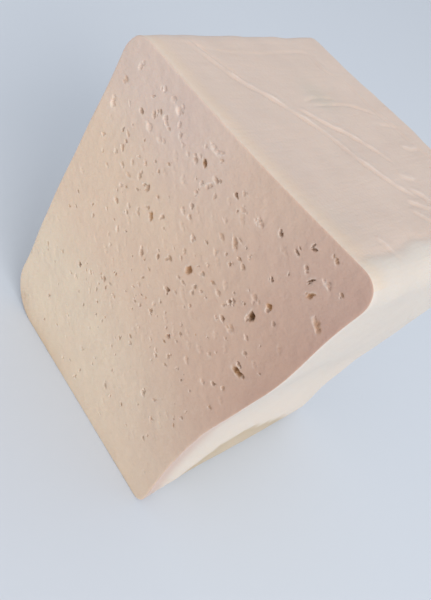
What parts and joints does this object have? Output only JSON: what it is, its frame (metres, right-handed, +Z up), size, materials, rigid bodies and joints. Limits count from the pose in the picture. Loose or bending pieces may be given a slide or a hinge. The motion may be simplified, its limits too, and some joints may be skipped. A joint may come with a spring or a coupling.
{
  "type": "costeno cheese block",
  "caption": "Piece of a pressed white costeno cheese block with a knife-cut face of small eyes, rounded sides and cloth folds printed on its top.",
  "frame": {"origin": "middle of the base, on the surface that the block rests on", "axes": "+Z up, the knife-cut face looks to -Y, +X is to the right as the cut face is seen"},
  "size_m": [0.169, 0.1528, 0.2026],
  "materials": {
    "curd": "moist satin curd, pale cream, lighter on the pressed sides than on the cut"
  },
  "bodies": {
    "root": {"cheese_block": "curd"}
  },
  "joints": []
}
